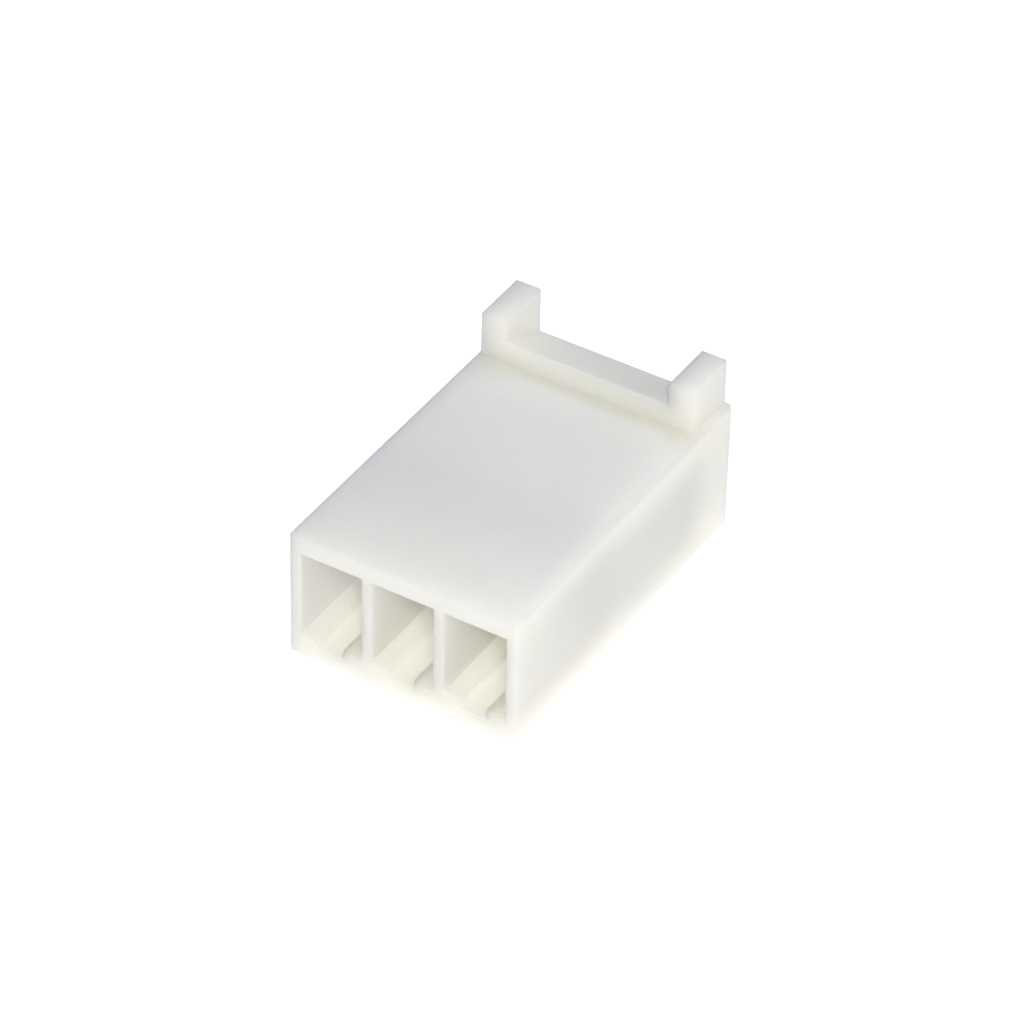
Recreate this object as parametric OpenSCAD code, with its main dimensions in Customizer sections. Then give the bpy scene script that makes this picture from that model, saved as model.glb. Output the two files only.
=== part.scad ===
// Crimp terminal housing for a single row of circuits.
// One moulded piece of natural nylon: wires enter at -Y, the header's pins at +Y.
// Frame: +X along the row, +Z up, origin at the middle of the underside.

/* [Row of circuits] */
// Number of circuits in the row
circuits = 3; // [2:1:6]
// Distance from one circuit to the next
pitch = 2.54; // [2.5:0.01:2.6]

/* [Body] */
// Length from the wire entry face to the mating face
body_l = 12.7; // [12:0.1:14]
// Height from the underside to the top face
body_h = 4.65; // [4.5:0.05:5.2]
// Thickness of the wall at each end of the row
end_wall = 0.415; // [0.35:0.005:0.6]
// Radius of the long outer edges
edge_r = 0.15; // [0.08:0.01:0.2]
// Radius of the edges round the two end faces
face_edge_r = 0.1; // [0.05:0.01:0.15]
// Radius of the upright corners at the mating end
mating_corner_r = 0.2; // [0.15:0.01:0.3]

/* [Polarising ears] */
// Thickness of one ear along the row
ear_t = 0.9; // [0.7:0.05:1.1]
// Length of one ear back from the mating face
ear_l = 2.05; // [1.6:0.05:2.4]
// Height of the ears above the top face
ear_h = 1.65; // [1.2:0.05:1.9]
// Distance from an outer circuit's centre to the outer face of its ear, before the shift
ear_reach = 1.26; // [1.1:0.01:1.3]
// Shift of the pair of ears along the row
ear_shift = -0.1; // [-0.1:0.01:0.1]
// Radius of the ears' outer edges
ear_edge_r = 0.14; // [0.05:0.01:0.2]
// Radius of the fillet at the foot of the ears
ear_root_r = 0.12; // [0.05:0.01:0.12]

/* [Terminal cavities] */
// Width of a cavity at its wire end
cavity_w = 2.15; // [1.9:0.01:2.15]
// Height of a cavity at its wire end
cavity_h = 3.0; // [2.7:0.05:3.1]
// Thickness of the floor under the cavities
floor_t = 0.89; // [0.8:0.01:1]
// Length of the wide wire end of a cavity
crimp_l = 5.2; // [4.6:0.1:5.6]
// Width of a cavity round the terminal's contact box
contact_w = 1.95; // [1.8:0.01:2]
// Height of a cavity round the terminal's contact box
contact_h = 2.5; // [2.3:0.05:2.6]
// Length of the taper from the wire end to the contact box
taper_l = 0.8; // [0.5:0.1:1]
// Thickness of the wall that stops the terminals
mating_wall = 2.1; // [1.8:0.1:2.4]
// Depth of the lead-in round each wire entry
lead_in = 0.1; // [0.04:0.01:0.12]

/* [Terminal locks] */
// Width of the groove that the terminal's lance slides along
groove_w = 0.92; // [0.7:0.01:1]
// Depth of the lance groove below the cavity floor
groove_d = 0.3; // [0.2:0.05:0.35]
// Width of the window that the lance springs into
window_w = 1.2; // [1.1:0.05:1.4]
// Length of the window
window_l = 2.6; // [2:0.1:3]
// Distance from the mating face to the window's locking edge
window_setback = 3.5; // [3:0.1:4]
// Radius of the window's corners
window_r = 0.15; // [0.1:0.05:0.3]

/* [Pin entries] */
// Side of the square hole for a header pin
pin_hole = 1.1; // [0.9:0.05:1.3]
// Side of the funnel where it meets the mating face
funnel_w = 1.9; // [1.6:0.05:2]
// Depth of the funnel
funnel_d = 0.5; // [0.3:0.05:0.7]
// Height of the pins above the underside
pin_z = 2.3; // [2.2:0.05:2.4]

/* [Hidden] */

$fn = 48;
over = 0.5;         // how far a cutter runs past the face it opens
sink = 0.1;         // how far a fillet is sunk into what it joins
root_depth = 0.3;   // how far an ear is sunk into the body
natural_nylon = [0.88, 0.87, 0.83];

body_w = (circuits - 1) * pitch + cavity_w + 2 * end_wall;
mating_y = body_l / 2;
wire_y = -body_l / 2;
stop_y = mating_y - mating_wall;
crimp_end_y = wire_y + crimp_l;
lock_y = mating_y - window_setback;
ears_w = (circuits - 1) * pitch + 2 * ear_reach;

// X of the middle of one circuit
function circuit_x(i) = (i - (circuits - 1) / 2) * pitch;

// Outlines ---------------------------------------------------------------

// Rectangle centred on the origin with round corners
module round_rect(w, h, r) {
    square([w, h - 2 * r], center = true);
    square([w - 2 * r, h], center = true);
    for (x = [-1, 1], y = [-1, 1])
        translate([x * (w / 2 - r), y * (h / 2 - r)])
            circle(r);
}

// Fillet in the corner between a floor and a wall, both along the axes
module inside_fillet(r) {
    difference() {
        translate([-sink, -sink]) square(r + sink);
        translate([r, r]) circle(r);
    }
}

// Stands an XZ outline up and runs it along Y from y0 to y1
module along_y(y0, y1) {
    translate([0, y1, 0])
        rotate([90, 0, 0])
            linear_extrude(height = y1 - y0)
                children();
}

// Stands a YZ outline up and runs it along X, w wide about the middle
module along_x(w) {
    rotate([90, 0, 90])
        linear_extrude(height = w, center = true)
            children();
}

// Body -------------------------------------------------------------------

// Plan of the body, with rounder corners at the mating end
module body_plan() {
    intersection() {
        round_rect(body_w, body_l, face_edge_r);
        translate([0, -over / 2])
            round_rect(body_w, body_l + over, mating_corner_r);
    }
}

// Block with every outer edge rounded: three outlines run through each other
module body_block() {
    intersection() {
        along_y(wire_y, mating_y)
            translate([0, body_h / 2]) round_rect(body_w, body_h, edge_r);
        along_x(body_w)
            translate([0, body_h / 2]) round_rect(body_l, body_h, face_edge_r);
        linear_extrude(height = body_h) body_plan();
    }
}

// Ears -------------------------------------------------------------------

// Front view of the ear on the +X side, with a fillet at the foot of its inner face
module ear_front() {
    translate([-ear_t / 2, -root_depth]) square([ear_t, ear_h - ear_edge_r + root_depth]);
    translate([-ear_t / 2 + ear_edge_r, 0]) square([ear_t - 2 * ear_edge_r, ear_h]);
    for (side = [-1, 1])
        translate([side * (ear_t / 2 - ear_edge_r), ear_h - ear_edge_r])
            circle(ear_edge_r);
    mirror([1, 0]) translate([ear_t / 2, 0]) inside_fillet(ear_root_r);
}

// Side view of an ear, flush with the mating face and filleted at its wire side
module ear_side() {
    translate([-ear_l, -root_depth]) square([ear_l, ear_h - ear_edge_r + root_depth]);
    translate([-ear_l + ear_edge_r, 0]) square([ear_l - 2 * ear_edge_r, ear_h]);
    for (y = [-ear_edge_r, -ear_l + ear_edge_r])
        translate([y, ear_h - ear_edge_r]) circle(ear_edge_r);
    mirror([1, 0]) translate([ear_l, 0]) inside_fillet(ear_root_r);
}

module ear() {
    intersection() {
        along_y(mating_y - ear_l - ear_root_r, mating_y) ear_front();
        translate([0, mating_y, 0]) along_x(ear_t + 2 * ear_root_r) ear_side();
    }
}

module ears() {
    translate([ear_shift, 0, body_h])
        for (side = [0, 1])
            mirror([side, 0, 0])
                translate([(ears_w - ear_t) / 2, 0, 0])
                    ear();
}

// Cavities ---------------------------------------------------------------

// Side view of a cavity: lead-in, wire end, sloping roof, contact box
module cavity_side() {
    roof_z = floor_t + cavity_h;
    polygon([
        [wire_y - over, floor_t - lead_in - over],
        [wire_y, floor_t - lead_in],
        [wire_y + lead_in, floor_t],
        [stop_y, floor_t],
        [stop_y, floor_t + contact_h],
        [crimp_end_y + taper_l, floor_t + contact_h],
        [crimp_end_y, roof_z],
        [wire_y + lead_in, roof_z],
        [wire_y, roof_z + lead_in],
        [wire_y - over, roof_z + lead_in + over],
    ]);
}

// Plan of a cavity, the same stretches seen from above
module cavity_plan() {
    for (side = [0, 1])
        mirror([side, 0])
            polygon([
                [0, wire_y - over],
                [cavity_w / 2 + lead_in / 2 + over / 2, wire_y - over],
                [cavity_w / 2 + lead_in / 2, wire_y],
                [cavity_w / 2, wire_y + lead_in],
                [cavity_w / 2, crimp_end_y],
                [contact_w / 2, crimp_end_y + taper_l],
                [contact_w / 2, stop_y],
                [0, stop_y],
            ]);
}

module cavity() {
    intersection() {
        along_x(cavity_w + 2 * over) cavity_side();
        translate([0, 0, floor_t - lead_in - over])
            linear_extrude(height = cavity_h + 2 * (lead_in + over))
                cavity_plan();
    }
}

// Groove from the wire entry to the locking edge, with the window at its end
module lance_lock() {
    translate([-groove_w / 2, wire_y - over, floor_t - groove_d])
        cube([groove_w, lock_y - wire_y + over, groove_d + over]);
    translate([0, lock_y - window_l / 2, -over])
        linear_extrude(height = floor_t + 2 * over)
            round_rect(window_w, window_l, window_r);
}

// Half outline of a pin entry, from the cavity's end wall out to the mating face
module pin_entry_outline() {
    polygon([
        [0, stop_y - over],
        [pin_hole / 2, stop_y - over],
        [pin_hole / 2, mating_y - funnel_d],
        [funnel_w / 2, mating_y],
        [funnel_w / 2 + over, mating_y + over],
        [0, mating_y + over],
    ]);
}

module pin_entry() {
    reach = funnel_w + 2 * over;
    translate([0, 0, pin_z])
        intersection() {
            linear_extrude(height = reach, center = true) {
                pin_entry_outline();
                mirror([1, 0]) pin_entry_outline();
            }
            rotate([0, 90, 0])
                linear_extrude(height = reach, center = true) {
                    pin_entry_outline();
                    mirror([1, 0]) pin_entry_outline();
                }
        }
}

// The piece --------------------------------------------------------------

module housing() {
    color(natural_nylon)
        difference() {
            union() {
                body_block();
                ears();
            }
            for (i = [0 : circuits - 1])
                translate([circuit_x(i), 0, 0]) {
                    cavity();
                    lance_lock();
                    pin_entry();
                }
        }
}

housing();
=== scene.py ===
"""Dresses the crimp terminal housing: one moulded piece of natural nylon, lying on a white table."""

import math

import bpy
from bpy.props import FloatProperty, FloatVectorProperty, IntProperty, PointerProperty
from mathutils import Matrix, Vector


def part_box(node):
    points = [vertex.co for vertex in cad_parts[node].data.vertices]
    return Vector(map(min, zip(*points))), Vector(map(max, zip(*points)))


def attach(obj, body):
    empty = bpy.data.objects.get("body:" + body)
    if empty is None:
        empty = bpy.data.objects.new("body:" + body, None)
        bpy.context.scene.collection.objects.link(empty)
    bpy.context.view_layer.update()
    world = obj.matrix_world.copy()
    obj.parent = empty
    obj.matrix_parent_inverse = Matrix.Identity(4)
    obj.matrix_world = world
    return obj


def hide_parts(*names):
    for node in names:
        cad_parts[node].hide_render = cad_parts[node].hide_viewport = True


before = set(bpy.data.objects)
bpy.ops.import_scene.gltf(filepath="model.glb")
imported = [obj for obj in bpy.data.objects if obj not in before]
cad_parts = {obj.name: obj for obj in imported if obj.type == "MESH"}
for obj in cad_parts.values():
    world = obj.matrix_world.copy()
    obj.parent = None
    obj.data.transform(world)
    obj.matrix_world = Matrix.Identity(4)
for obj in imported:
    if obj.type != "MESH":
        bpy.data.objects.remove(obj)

bl_info = {
    "name": "Crimp terminal housing",
    "version": (1, 0, 0),
    "blender": (4, 5, 0),
    "location": "3D View > Sidebar > Housing",
    "description": "Models a moulded nylon housing for a row of crimp terminals, with its stage",
    "category": "Add Mesh",
}

MM = 0.001
NODE = "housing"
LOW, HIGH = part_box(NODE)
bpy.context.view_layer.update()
ROOT_DEPTH = 0.3  # how far the ears and the ramp are sunk into the body, in millimetres
CUT_PAST = 1.0  # how far a cutter runs past the face it opens, in millimetres


# Sizes and colours that a user would change -----------------------------------


def length(name, description, millimetres):
    """A length property, given in millimetres and kept in metres."""
    return FloatProperty(
        name=name,
        description=description,
        default=millimetres * MM,
        min=0.0,
        precision=5,
        unit="LENGTH",
    )


class HousingSizes(bpy.types.PropertyGroup):
    """Sizes of the moulded housing."""

    circuits: IntProperty(name="Circuits", description="Number of circuits in the row", default=3, min=2)
    pitch: length("Pitch", "Distance from one circuit to the next", 2.54)
    body_h: length("Body height", "Height from the underside to the top face", 4.65)
    edge_r: length("Long edge radius", "Radius of the long outer edges", 0.15)
    face_edge_r: length("Face edge radius", "Radius of the edges round the two end faces", 0.1)
    mating_corner_r: length("Mating corner radius", "Radius of the upright corners at the mating end", 0.2)
    fine_r: length("Fine edge radius", "Radius left on the edges of the cavities and windows", 0.04)

    ear_t: length("Ear thickness", "Thickness of one ear along the row", 0.9)
    ear_l: length("Ear length", "Length of one ear back from the mating face", 2.05)
    ears_w: length("Ear span", "Distance across the pair of ears", 7.6)
    ear_shift: FloatProperty(
        name="Ear shift",
        description="Shift of the pair of ears along the row",
        default=-0.1 * MM,
        precision=5,
        unit="LENGTH",
    )
    ear_edge_r: length("Ear edge radius", "Radius of the ears' top edges", 0.14)
    ear_root_r: length("Ear root radius", "Radius of the fillet at the wire side of the ears and the ramp", 0.12)

    ramp_h: length("Ramp height", "Height of the locking ramp's crest above the top face", 0.8)

    cavity_w: length("Cavity width", "Width of a cavity at its wire end", 2.15)
    cavity_h: length("Cavity height", "Height of a cavity at its wire end", 3.0)
    floor_t: length("Floor thickness", "Thickness of the floor under the cavities", 0.89)
    crimp_l: length("Wire end length", "Length of the wide wire end of a cavity", 5.2)
    contact_w: length("Contact width", "Width of a cavity round the contact box", 1.95)
    contact_h: length("Contact height", "Height of a cavity round the contact box", 2.5)
    taper_l: length("Taper length", "Length of the taper from the wire end to the contact box", 0.8)
    mating_wall: length("Mating wall", "Thickness of the wall that stops the terminals", 2.1)
    lead_in: length("Lead-in", "Depth of the lead-in round each wire entry", 0.1)

    groove_w: length("Groove width", "Width of the lance groove", 0.92)
    groove_d: length("Groove depth", "Depth of the lance groove below the cavity floor", 0.3)
    window_w: length("Window width", "Width of the lock window", 1.2)
    window_l: length("Window length", "Length of the lock window", 2.6)
    window_setback: length("Window setback", "Mating face to the window's locking edge", 3.5)
    window_r: length("Window corner radius", "Radius of the window's corners", 0.15)

    pin_hole: length("Pin hole", "Side of the square hole for a header pin", 1.1)
    funnel_w: length("Funnel width", "Side of the funnel at the mating face", 1.9)
    funnel_d: length("Funnel depth", "Depth of the funnel", 0.5)
    pin_z: length("Pin height", "Height of the pins above the underside", 2.3)


class HousingFinish(bpy.types.PropertyGroup):
    """Colours and surface of the natural nylon."""

    nylon: FloatVectorProperty(
        name="Nylon",
        description="Colour of the natural nylon",
        subtype="COLOR",
        size=3,
        min=0.0,
        max=1.0,
        default=(0.96, 0.948, 0.875),
    )
    nylon_deep: FloatVectorProperty(
        name="Deep nylon",
        description="Yellower colour of the nylon where little light gets out",
        subtype="COLOR",
        size=3,
        min=0.0,
        max=1.0,
        default=(0.96, 0.935, 0.83),
    )
    roughness: FloatProperty(name="Roughness", description="Roughness of the satin surface", default=0.42)
    see_in: length("See-in depth", "How far light spreads under the surface", 2.2)


class StageSizes(bpy.types.PropertyGroup):
    """Camera and floor."""

    azimuth: FloatProperty(
        name="Azimuth", description="Camera turned to the right of the wire face",
        default=math.radians(30.88), unit="ROTATION",
    )
    elevation: FloatProperty(
        name="Elevation", description="Camera height above the horizon",
        default=math.radians(38.89), unit="ROTATION",
    )
    roll: FloatProperty(
        name="Roll", description="Camera turned about its own axis",
        default=math.radians(1.39), unit="ROTATION",
    )
    distance: length("Camera distance", "Camera to the middle of the underside", 167.3)
    rise: length("Camera rise", "Sideways shift of the camera up the picture", 2.25)
    lens: FloatProperty(name="Focal length", description="Focal length on a 36 mm sensor", default=190.3)
    floor_w: length("Floor width", "Side of the square floor", 900.0)
    floor_gap: length("Floor gap", "Gap between the floor and the underside", 0.01)


# Modelling helpers: a bench where one unit is a millimetre ---------------------


def deselect_all():
    """Leaves nothing selected, so that an operator acts on the new piece alone."""
    for obj in bpy.context.selected_objects:
        obj.select_set(False)


def add_block(name, low, high):
    """A block between two corners, active and the only object selected."""
    deselect_all()
    low, high = Vector(low), Vector(high)
    bpy.ops.mesh.primitive_cube_add(size=1.0, location=(low + high) / 2, scale=high - low)
    bpy.ops.object.transform_apply(location=True, rotation=True, scale=True)
    block = bpy.context.object
    block.name = name
    return block


def select_faces(obj, wanted):
    """Selects the faces for which wanted(centre, normal) holds. Edit mode, face selection."""
    bpy.ops.object.mode_set(mode="EDIT")
    bpy.ops.mesh.select_mode(type="FACE")
    bpy.ops.mesh.select_all(action="DESELECT")
    bpy.ops.object.mode_set(mode="OBJECT")
    for face in obj.data.polygons:
        face.select = wanted(face.center, face.normal)
    bpy.ops.object.mode_set(mode="EDIT")


def select_edges(obj, wanted):
    """Selects the edges for which wanted(one end, other end) holds. Edit mode, edge selection."""
    bpy.ops.object.mode_set(mode="EDIT")
    bpy.ops.mesh.select_mode(type="EDGE")
    bpy.ops.mesh.select_all(action="DESELECT")
    bpy.ops.object.mode_set(mode="OBJECT")
    corners = obj.data.vertices
    for edge in obj.data.edges:
        edge.select = wanted(*(corners[i].co for i in edge.vertices))
    bpy.ops.object.mode_set(mode="EDIT")


def round_edges(obj, radius, segments, wanted):
    """Rounds the edges for which wanted(one end, other end) holds."""
    select_edges(obj, wanted)
    bpy.ops.mesh.bevel(offset=radius, segments=segments, profile=0.5, affect="EDGES")
    bpy.ops.object.mode_set(mode="OBJECT")


def round_every_edge(obj, segments, radius):
    """Rounds every edge by radius(one end, other end) at once, so that the corners blend."""
    corners = obj.data.vertices
    radii = [radius(*(corners[i].co for i in edge.vertices)) for edge in obj.data.edges]
    weights = obj.data.attributes.new("bevel_weight_edge", "FLOAT", "EDGE")
    weights.data.foreach_set("value", [r / max(radii) for r in radii])
    modifier = obj.modifiers.new("radii", "BEVEL")
    modifier.limit_method = "WEIGHT"
    modifier.width = max(radii)
    modifier.segments = segments
    bpy.ops.object.modifier_apply(modifier=modifier.name)
    obj.data.attributes.remove(obj.data.attributes["bevel_weight_edge"])


def along(axis):
    """A test for edges that run along one axis."""
    across = [i for i in range(3) if i != axis]
    return lambda a, b: all(abs(a[i] - b[i]) < 1e-4 for i in across)


def lying_at(axis, place):
    """A test for edges that lie in the plane at one place along an axis."""
    return lambda a, b: abs(a[axis] - place) < 1e-4 and abs(b[axis] - place) < 1e-4


def grow_end(obj, direction, reach, widths=None, low_z=None):
    """Extrudes the end face that looks along Y by reach; widths scales it, low_z keeps its bottom level."""
    select_faces(obj, lambda centre, normal: normal.y * direction > 0.9)
    bpy.ops.mesh.extrude_region_move(TRANSFORM_OT_translate={"value": (0.0, direction * reach, 0.0)})
    if widths:
        bpy.ops.object.mode_set(mode="OBJECT")
        moved = [v for v in obj.data.vertices if v.select]
        middle = sum((v.co for v in moved), Vector()) / len(moved)
        pivot_z = middle.z if low_z is None else low_z
        bpy.ops.object.mode_set(mode="EDIT")
        bpy.ops.transform.resize(
            value=(widths[0], 1.0, widths[1]), center_override=(middle.x, middle.y, pivot_z)
        )
    bpy.ops.object.mode_set(mode="OBJECT")


def repeat_along_row(obj, places):
    """Joins copies of obj, one at each place along X, each with its own mesh."""
    copies = []
    for x in places:
        copy = obj.copy()
        copy.data = obj.data.copy()
        copy.data.transform(Matrix.Translation((x, 0.0, 0.0)))
        bpy.context.scene.collection.objects.link(copy)
        copies.append(copy)
    bpy.data.objects.remove(obj)
    deselect_all()
    for copy in copies:
        copy.select_set(True)
    bpy.context.view_layer.objects.active = copies[0]
    bpy.ops.object.join()
    return bpy.context.object


def combine(obj, other, operation):
    """Unites other with obj, or cuts it out, and deletes other."""
    deselect_all()
    bpy.context.view_layer.objects.active = obj
    obj.select_set(True)
    modifier = obj.modifiers.new("combine", "BOOLEAN")
    modifier.operation = operation
    modifier.solver = "EXACT"
    modifier.object = other
    bpy.ops.object.modifier_apply(modifier=modifier.name)
    bpy.data.objects.remove(other)


def finish_piece(obj, material):
    """Brings a piece from the bench to metres, gives it its material and lets it ride on the root."""
    obj.data.transform(Matrix.Scale(MM, 4))
    obj.data.materials.clear()
    obj.data.materials.append(material)
    deselect_all()
    obj.select_set(True)
    bpy.context.view_layer.objects.active = obj
    bpy.ops.object.shade_smooth_by_angle(angle=math.radians(35))
    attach(obj, "root")


# Materials --------------------------------------------------------------------


def new_material(name):
    """An empty node material with its output."""
    material = bpy.data.materials.new(name)
    material.use_nodes = True
    nodes = material.node_tree.nodes
    nodes.clear()
    output = nodes.new("ShaderNodeOutputMaterial")
    return material, nodes, material.node_tree.links, output


def noise(nodes, links, coordinates, scale, detail):
    """Noise over the piece's own coordinates."""
    texture = nodes.new("ShaderNodeTexNoise")
    texture.inputs["Scale"].default_value = scale
    texture.inputs["Detail"].default_value = detail
    links.new(coordinates, texture.inputs["Vector"])
    return texture.outputs["Fac"]


def map_range(nodes, links, value, low, high, to_low, to_high):
    """Value from low..high brought to to_low..to_high."""
    node = nodes.new("ShaderNodeMapRange")
    links.new(value, node.inputs["Value"])
    for socket, number in zip(("From Min", "From Max", "To Min", "To Max"), (low, high, to_low, to_high)):
        node.inputs[socket].default_value = number
    return node.outputs["Result"]


def natural_nylon(finish):
    """Milky nylon: light spreads under a satin skin, and the colour is yellower in its cloudy patches."""
    material, nodes, links, output = new_material("natural_nylon")
    shader = nodes.new("ShaderNodeBsdfPrincipled")
    shader.subsurface_method = "RANDOM_WALK"
    shader.inputs["Subsurface Weight"].default_value = 1.0
    shader.inputs["Subsurface Radius"].default_value = (1.0, 0.95, 0.8)
    shader.inputs["Subsurface Scale"].default_value = finish.see_in
    shader.inputs["Subsurface Anisotropy"].default_value = 0.2
    shader.inputs["IOR"].default_value = 1.53
    links.new(shader.outputs["BSDF"], output.inputs["Surface"])

    place = nodes.new("ShaderNodeTexCoord").outputs["Object"]
    cloud = noise(nodes, links, place, 260.0, 3.0)
    tint = nodes.new("ShaderNodeMix")
    tint.data_type = "RGBA"
    links.new(map_range(nodes, links, cloud, 0.35, 0.7, 0.0, 0.35), tint.inputs["Factor"])
    tint.inputs["A"].default_value = (*finish.nylon, 1.0)
    tint.inputs["B"].default_value = (*finish.nylon_deep, 1.0)
    links.new(tint.outputs["Result"], shader.inputs["Base Color"])

    satin = noise(nodes, links, place, 900.0, 4.0)
    rough = map_range(nodes, links, satin, 0.3, 0.7, finish.roughness - 0.06, finish.roughness + 0.06)
    links.new(rough, shader.inputs["Roughness"])

    grain = noise(nodes, links, place, 9000.0, 2.0)
    bump = nodes.new("ShaderNodeBump")
    bump.inputs["Strength"].default_value = 0.12
    bump.inputs["Distance"].default_value = 0.01 * MM
    links.new(grain, bump.inputs["Height"])
    links.new(bump.outputs["Normal"], shader.inputs["Normal"])
    return material


def light_table():
    """A lit white table top: white to the camera, a little shaded where the piece stands."""
    material, nodes, links, output = new_material("light_table")
    top = nodes.new("ShaderNodeBsdfPrincipled")
    top.inputs["Base Color"].default_value = (0.85, 0.85, 0.85, 1.0)
    top.inputs["Roughness"].default_value = 0.9
    top.inputs["Specular IOR Level"].default_value = 0.0
    top.inputs["Emission Color"].default_value = (1.0, 1.0, 1.0, 1.0)
    seen = nodes.new("ShaderNodeLightPath")
    level = nodes.new("ShaderNodeMapRange")
    level.inputs["To Min"].default_value = 0.42
    level.inputs["To Max"].default_value = 0.8
    links.new(seen.outputs["Is Camera Ray"], level.inputs["Value"])
    links.new(level.outputs["Result"], top.inputs["Emission Strength"])
    links.new(top.outputs["BSDF"], output.inputs["Surface"])
    return material


# Operators --------------------------------------------------------------------


class HOUSING_OT_body(bpy.types.Operator):
    """Models the moulded housing: body, ears, ramp, cavities, lance grooves, windows and pin entries"""

    bl_idname = "housing.body"
    bl_label = "Moulded housing"

    def execute(self, context):
        sizes = context.scene.housing_sizes
        finish = context.scene.housing_finish
        mm = {name: getattr(sizes, name) / MM for name in sizes.__annotations__ if name != "circuits"}
        first = -(sizes.circuits - 1) / 2
        row = [(first + i) * mm["pitch"] for i in range(sizes.circuits)]
        low, high = LOW / MM, HIGH / MM
        wire_y, mating_y = low.y, high.y

        body = self.block(mm, low, high)
        combine(body, self.ears(mm, high), "UNION")
        combine(body, self.locking_ramp(mm, mating_y), "UNION")
        self.fillet_ear_roots(body, mm, mating_y)
        for cutter in (
            self.cavity(mm, wire_y, mating_y),
            self.lance_groove(mm, wire_y, mating_y),
            self.lock_window(mm, mating_y),
            self.pin_entry(mm, mating_y),
        ):
            combine(body, repeat_along_row(cutter, row), "DIFFERENCE")
        self.soften_fine_edges(body, mm)
        body.name = "moulded_housing"
        body.data.name = body.name
        finish_piece(body, natural_nylon(finish))
        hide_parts(NODE)
        return {"FINISHED"}

    def block(self, mm, low, high):
        """The body with its outer edges rounded, most at the mating end's upright corners."""

        def radius(a, b):
            if along(1)(a, b):
                return mm["edge_r"]
            if along(2)(a, b) and a.y > 0.0:
                return mm["mating_corner_r"]
            return mm["face_edge_r"]

        block = add_block("body", low, (high.x, high.y, mm["body_h"]))
        round_every_edge(block, 6, radius)
        return block

    def ears(self, mm, high):
        """The pair of ears, sunk a little into the body."""
        half = mm["ear_t"] / 2
        ear = add_block(
            "ear",
            (-half, high.y - mm["ear_l"], mm["body_h"] - ROOT_DEPTH),
            (half, high.y, high.z),
        )
        round_edges(ear, mm["ear_edge_r"], 5, lying_at(2, high.z))
        reach = (mm["ears_w"] - mm["ear_t"]) / 2
        return repeat_along_row(ear, [mm["ear_shift"] + side * reach for side in (-1, 1)])

    def locking_ramp(self, mm, mating_y):
        """The ramp between the ears: highest at its wire side, falling to the top face's mating edge."""
        top = mm["body_h"]
        crest = top + mm["ramp_h"]
        half = mm["ears_w"] / 2 - mm["ear_t"] / 2
        end_depth = 0.06
        ramp = add_block(
            "locking_ramp",
            (mm["ear_shift"] - half, mating_y - mm["ear_l"], top - ROOT_DEPTH),
            (mm["ear_shift"] + half, mating_y - mm["face_edge_r"], crest),
        )
        select_edges(ramp, lambda a, b: min(a.z, b.z) > top and min(a.y, b.y) > mating_y - 1.0)
        bpy.ops.transform.translate(value=(0.0, 0.0, -mm["ramp_h"] - end_depth))
        bpy.ops.object.mode_set(mode="OBJECT")
        return ramp

    def fillet_ear_roots(self, body, mm, mating_y):
        """Rounds the foot of the ears and of the ramp along their wire side."""
        top = mm["body_h"]
        outer = mm["ears_w"] / 2
        wire_side = mating_y - mm["ear_l"]
        near = 1e-3

        def at_foot(a, b):
            return all(
                abs(p.z - top) < near and abs(p.y - wire_side) < near
                and abs(p.x - mm["ear_shift"]) < outer + near
                for p in (a, b)
            )

        round_edges(body, mm["ear_root_r"], 4, at_foot)

    def cavity(self, mm, wire_y, mating_y):
        """Cutter for one cavity: lead-in, wire end, taper and contact box."""
        half = mm["cavity_w"] / 2
        floor_z = mm["floor_t"]
        lead = mm["lead_in"]
        cutter = add_block(
            "cavity",
            (-half, wire_y + lead, floor_z),
            (half, wire_y + mm["crimp_l"], floor_z + mm["cavity_h"]),
        )
        narrower = (mm["contact_w"] / mm["cavity_w"], mm["contact_h"] / mm["cavity_h"])
        grow_end(cutter, 1, mm["taper_l"], narrower, low_z=floor_z)
        stop_y = mating_y - mm["mating_wall"]
        grow_end(cutter, 1, stop_y - (wire_y + mm["crimp_l"] + mm["taper_l"]))
        wider = (1 + lead / mm["cavity_w"], 1 + 2 * lead / mm["cavity_h"])
        grow_end(cutter, -1, lead, wider)
        grow_end(cutter, -1, CUT_PAST)
        return cutter

    def lance_groove(self, mm, wire_y, mating_y):
        """Cutter for the groove that leads the terminal's lance to its window."""
        half = mm["groove_w"] / 2
        return add_block(
            "lance_groove",
            (-half, wire_y - CUT_PAST, mm["floor_t"] - mm["groove_d"]),
            (half, mating_y - mm["window_setback"], mm["floor_t"] + 0.5),
        )

    def lock_window(self, mm, mating_y):
        """Cutter for the window that the lance springs into."""
        half = mm["window_w"] / 2
        far_y = mating_y - mm["window_setback"]
        cutter = add_block(
            "lock_window",
            (-half, far_y - mm["window_l"], -CUT_PAST),
            (half, far_y, mm["floor_t"] + 0.5),
        )
        round_edges(cutter, mm["window_r"], 4, along(2))
        return cutter

    def pin_entry(self, mm, mating_y):
        """Cutter for the square pin hole and its funnel."""
        half = mm["pin_hole"] / 2
        past = 0.5
        cutter = add_block(
            "pin_entry",
            (-half, mating_y - mm["mating_wall"] - past, mm["pin_z"] - half),
            (half, mating_y - mm["funnel_d"], mm["pin_z"] + half),
        )
        flare = mm["funnel_w"] / mm["pin_hole"]
        grow_end(cutter, 1, mm["funnel_d"], (flare, flare))
        slope = (mm["funnel_w"] - mm["pin_hole"]) / mm["funnel_d"]
        beyond = 1 + slope * past / mm["funnel_w"]
        grow_end(cutter, 1, past, (beyond, beyond))
        return cutter

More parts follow.
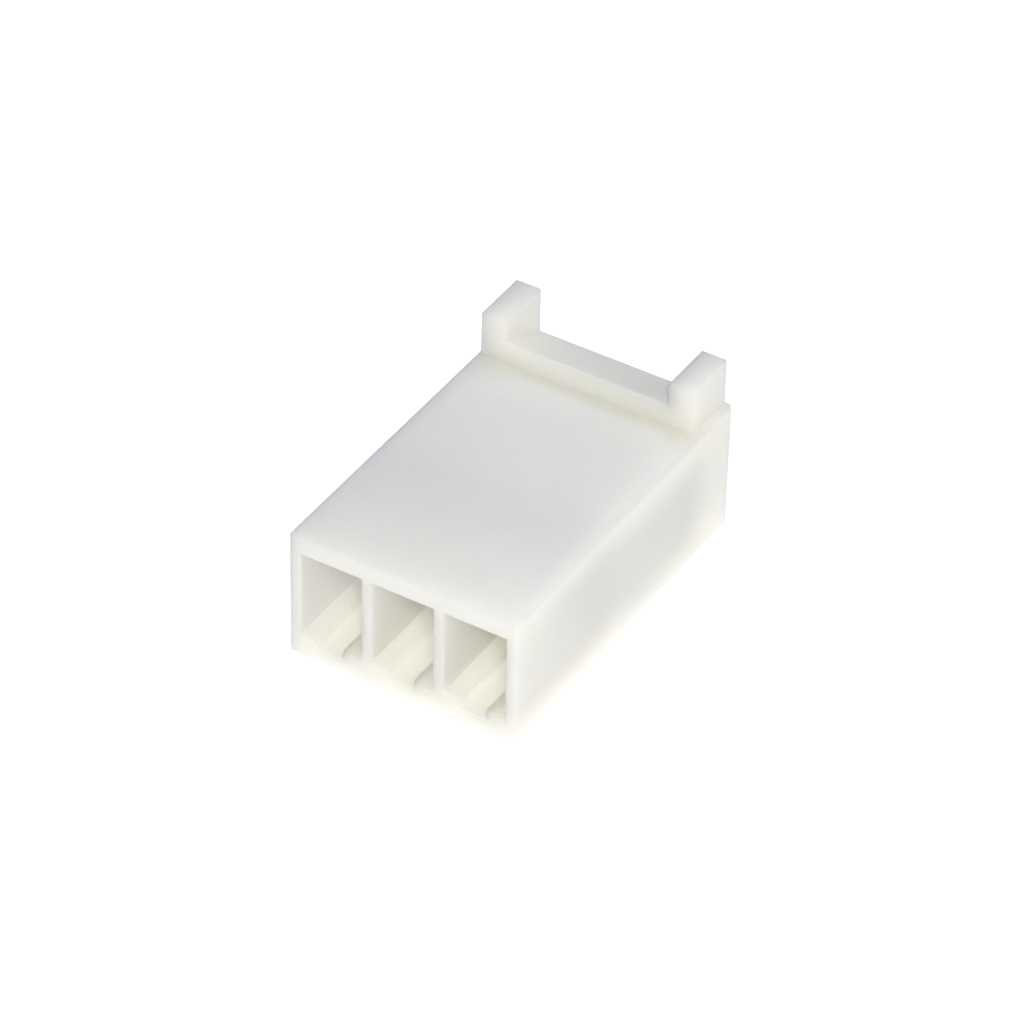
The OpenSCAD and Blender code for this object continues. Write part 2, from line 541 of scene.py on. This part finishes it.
    def soften_fine_edges(self, body, mm):
        """Leaves a fine radius on every edge that is still sharp."""
        body.data.validate()
        modifier = body.modifiers.new("fine edges", "BEVEL")
        modifier.width = mm["fine_r"]
        modifier.segments = 3
        modifier.limit_method = "ANGLE"
        modifier.angle_limit = math.radians(34)
        modifier.miter_outer = "MITER_ARC"
        modifier.use_clamp_overlap = True
        modifier.harden_normals = False
        bpy.ops.object.modifier_apply(modifier=modifier.name)


class HOUSING_OT_stage(bpy.types.Operator):
    """Sets up the floor, the soft lamps, the pale surroundings and the camera"""

    bl_idname = "housing.stage"
    bl_label = "Stage"

    def execute(self, context):
        stage = context.scene.housing_stage
        self.floor(stage)
        self.surroundings(context.scene)
        middle = Vector((0.0, 0.0, HIGH.z / 3))
        self.lamp("camera_lamp", middle, (0.168, -0.280, 0.264), 0.10, 1.2, (1.0, 0.975, 0.89))
        self.lamp("side_lamp", middle, (0.314, 0.146, 0.200), 0.20, 0.21, (1.0, 0.93, 0.78))
        self.lamp("top_lamp", middle, (-0.065, 0.179, 0.408), 0.30, 0.84, (0.78, 0.82, 1.0))
        self.camera(context.scene, stage)
        context.scene.view_settings.view_transform = "Standard"
        return {"FINISHED"}

    def floor(self, stage):
        """A white table just under the piece."""
        deselect_all()
        bpy.ops.mesh.primitive_plane_add(size=stage.floor_w, location=(0.0, 0.0, -stage.floor_gap))
        floor = bpy.context.object
        floor.name = "light_table"
        floor.data.materials.append(light_table())

    def surroundings(self, scene):
        """A world that is white to the camera and gives no light."""
        world = bpy.data.worlds.new("pale_room")
        scene.world = world
        world.use_nodes = True
        nodes, links = world.node_tree.nodes, world.node_tree.links
        backdrop = nodes["Background"]
        seen = nodes.new("ShaderNodeLightPath")
        level = nodes.new("ShaderNodeMapRange")
        level.inputs["To Min"].default_value = 0.0
        level.inputs["To Max"].default_value = 1.0
        links.new(seen.outputs["Is Camera Ray"], level.inputs["Value"])
        backdrop.inputs["Color"].default_value = (1.0, 1.0, 1.0, 1.0)
        links.new(level.outputs["Result"], backdrop.inputs["Strength"])

    def lamp(self, name, target, place, width, power, colour):
        """A square soft lamp at place, facing the target."""
        light = bpy.data.lights.new(name, "AREA")
        light.size = width
        light.energy = power
        light.color = colour
        lamp = bpy.data.objects.new(name, light)
        lamp.location = place
        lamp.rotation_mode = "QUATERNION"
        lamp.rotation_quaternion = (Vector(place) - target).to_track_quat("Z", "Y")
        bpy.context.scene.collection.objects.link(lamp)

    def camera(self, scene, stage):
        """A long lens above the right-hand end of the wire face."""
        data = bpy.data.cameras.new("camera")
        data.sensor_width = 36.0
        data.lens = stage.lens
        data.clip_start = 0.01
        data.clip_end = 10.0
        camera = bpy.data.objects.new("camera", data)
        back = Vector((
            math.sin(stage.azimuth) * math.cos(stage.elevation),
            -math.cos(stage.azimuth) * math.cos(stage.elevation),
            math.sin(stage.elevation),
        ))
        level = Vector((math.cos(stage.azimuth), math.sin(stage.azimuth), 0.0))
        right = Matrix.Rotation(stage.roll, 3, back) @ level
        up = back.cross(right)
        turn = Matrix((right, up, back)).transposed()
        camera.matrix_world = Matrix.Translation(back * stage.distance + up * stage.rise) @ turn.to_4x4()
        scene.collection.objects.link(camera)
        scene.camera = camera


class HOUSING_PT_panel(bpy.types.Panel):
    """Sizes and operators of the housing"""

    bl_idname = "HOUSING_PT_panel"
    bl_label = "Crimp terminal housing"
    bl_space_type = "VIEW_3D"
    bl_region_type = "UI"
    bl_category = "Housing"

    def draw(self, context):
        groups = (
            ("housing_sizes", HOUSING_OT_body),
            ("housing_finish", None),
            ("housing_stage", HOUSING_OT_stage),
        )
        for name, operator in groups:
            group = getattr(context.scene, name)
            box = self.layout.box()
            for prop in group.__annotations__:
                box.prop(group, prop)
            if operator:
                box.operator(operator.bl_idname)


GROUPS = {
    "housing_sizes": HousingSizes,
    "housing_finish": HousingFinish,
    "housing_stage": StageSizes,
}
OPERATORS = (HOUSING_OT_body, HOUSING_OT_stage)


def register():
    for group in GROUPS.values():
        bpy.utils.register_class(group)
    for operator in OPERATORS:
        bpy.utils.register_class(operator)
    bpy.utils.register_class(HOUSING_PT_panel)
    for name, group in GROUPS.items():
        setattr(bpy.types.Scene, name, PointerProperty(type=group))


def unregister():
    for name in GROUPS:
        delattr(bpy.types.Scene, name)
    bpy.utils.unregister_class(HOUSING_PT_panel)
    for operator in reversed(OPERATORS):
        bpy.utils.unregister_class(operator)
    for group in reversed(GROUPS.values()):
        bpy.utils.unregister_class(group)


def main():
    register()
    bpy.ops.housing.stage()
    bpy.ops.housing.body()


if __name__ == "__main__":
    main()
